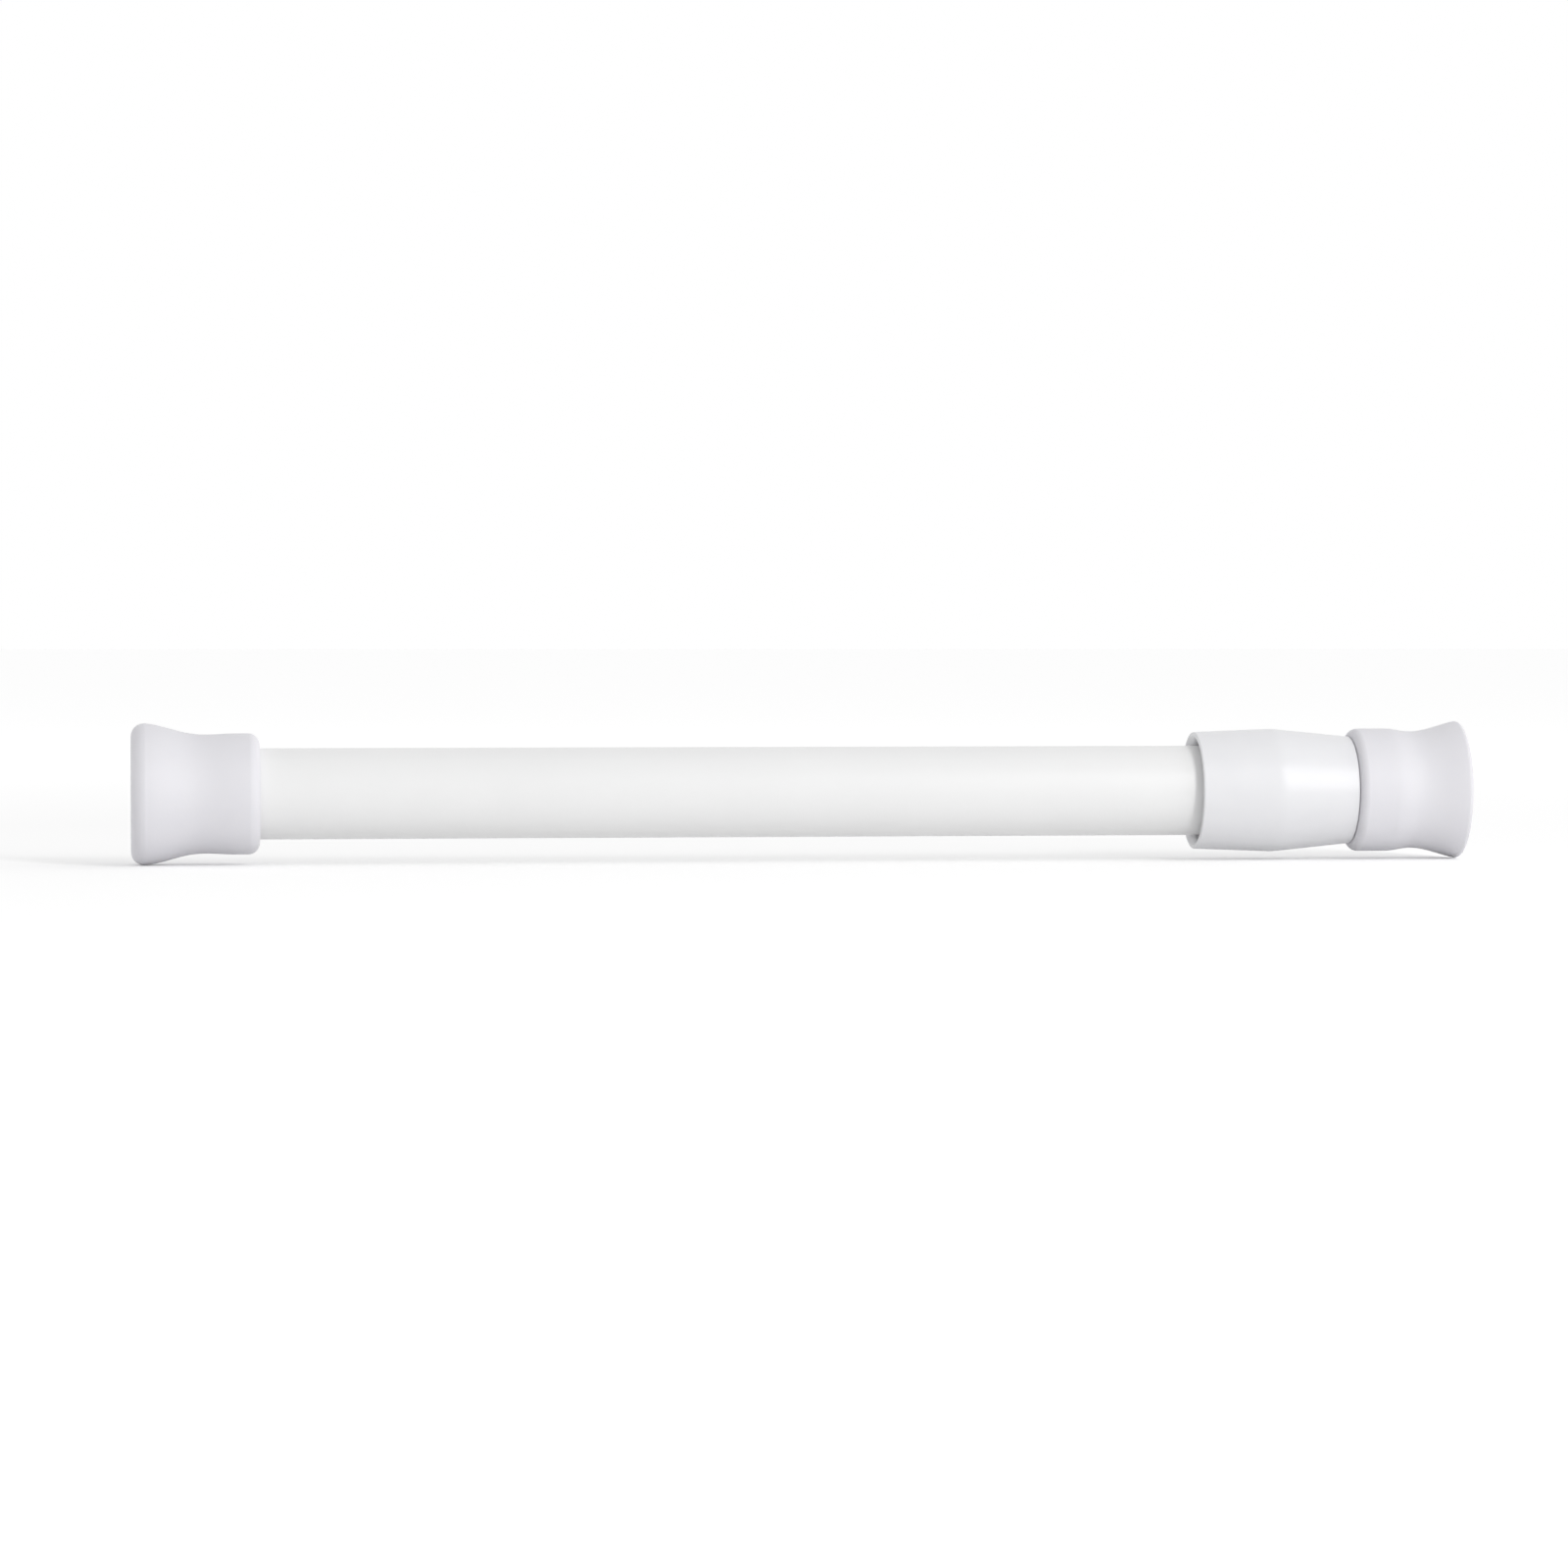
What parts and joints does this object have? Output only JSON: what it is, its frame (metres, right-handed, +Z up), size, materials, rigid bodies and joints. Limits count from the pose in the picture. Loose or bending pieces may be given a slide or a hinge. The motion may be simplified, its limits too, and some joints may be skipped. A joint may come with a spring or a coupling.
{
  "type": "spring tension rod",
  "caption": "White telescoping rod with flared soft feet, a two-cone sleeve over the joint, and an inner twist lock and coil spring that press it between facing walls.",
  "frame": {"origin": "middle of the fixed foot's wall face", "axes": "+X along the rod towards the sliding foot, +Z up"},
  "size_m": [0.2374, 0.0248, 0.0248],
  "materials": {
    "coated_steel": "white powder coat, satin",
    "soft_vinyl": "white soft vinyl, matte",
    "sleeve_plastic": "white moulded plastic, semi-gloss",
    "nylon": "natural moulded nylon",
    "spring_steel": "bright drawn wire",
    "zinc_plated_steel": "zinc plated"
  },
  "bodies": {
    "outer_half": {"left_foot": "soft_vinyl", "outer_tube": "coated_steel", "joint_sleeve": "sleeve_plastic"},
    "stop": {"stop_ring": "nylon"},
    "inner_half": {"inner_tube": "coated_steel", "right_foot": "soft_vinyl", "guide_bush": "nylon", "spring_plug": "nylon", "spring": "spring_steel"},
    "plunger": {"cam_shaft": "nylon", "spring_seat": "nylon", "seat_screw": "zinc_plated_steel"},
    "lock": {"lock_ring": "nylon"}
  },
  "joints": [
    {"name": "extend", "type": "slide", "parent": "outer_half", "child": "stop", "axis": [1, 0, 0], "range_m": [0, 0.13]},
    {"name": "twist", "type": "hinge", "parent": "stop", "child": "inner_half", "pos_m": [0.077, 0, 0], "axis": [1, 0, 0], "range_deg": [0, 90]},
    {"name": "spring_travel", "type": "slide", "parent": "inner_half", "child": "plunger", "axis": [1, 0, 0], "range_m": [0, 0.02], "stiffness_N_per_m": 1270, "springref_m": -0.01, "deforming": ["spring"]},
    {"name": "cam_throw", "type": "hinge", "parent": "plunger", "child": "lock", "pos_m": [0.0142, 0, 0.0005], "axis": [1, 0, 0], "range_deg": [-90, 0]}
  ],
  "couplings": [
    {"joint": "cam_throw", "follows": "twist", "ratio": -1}
  ]
}
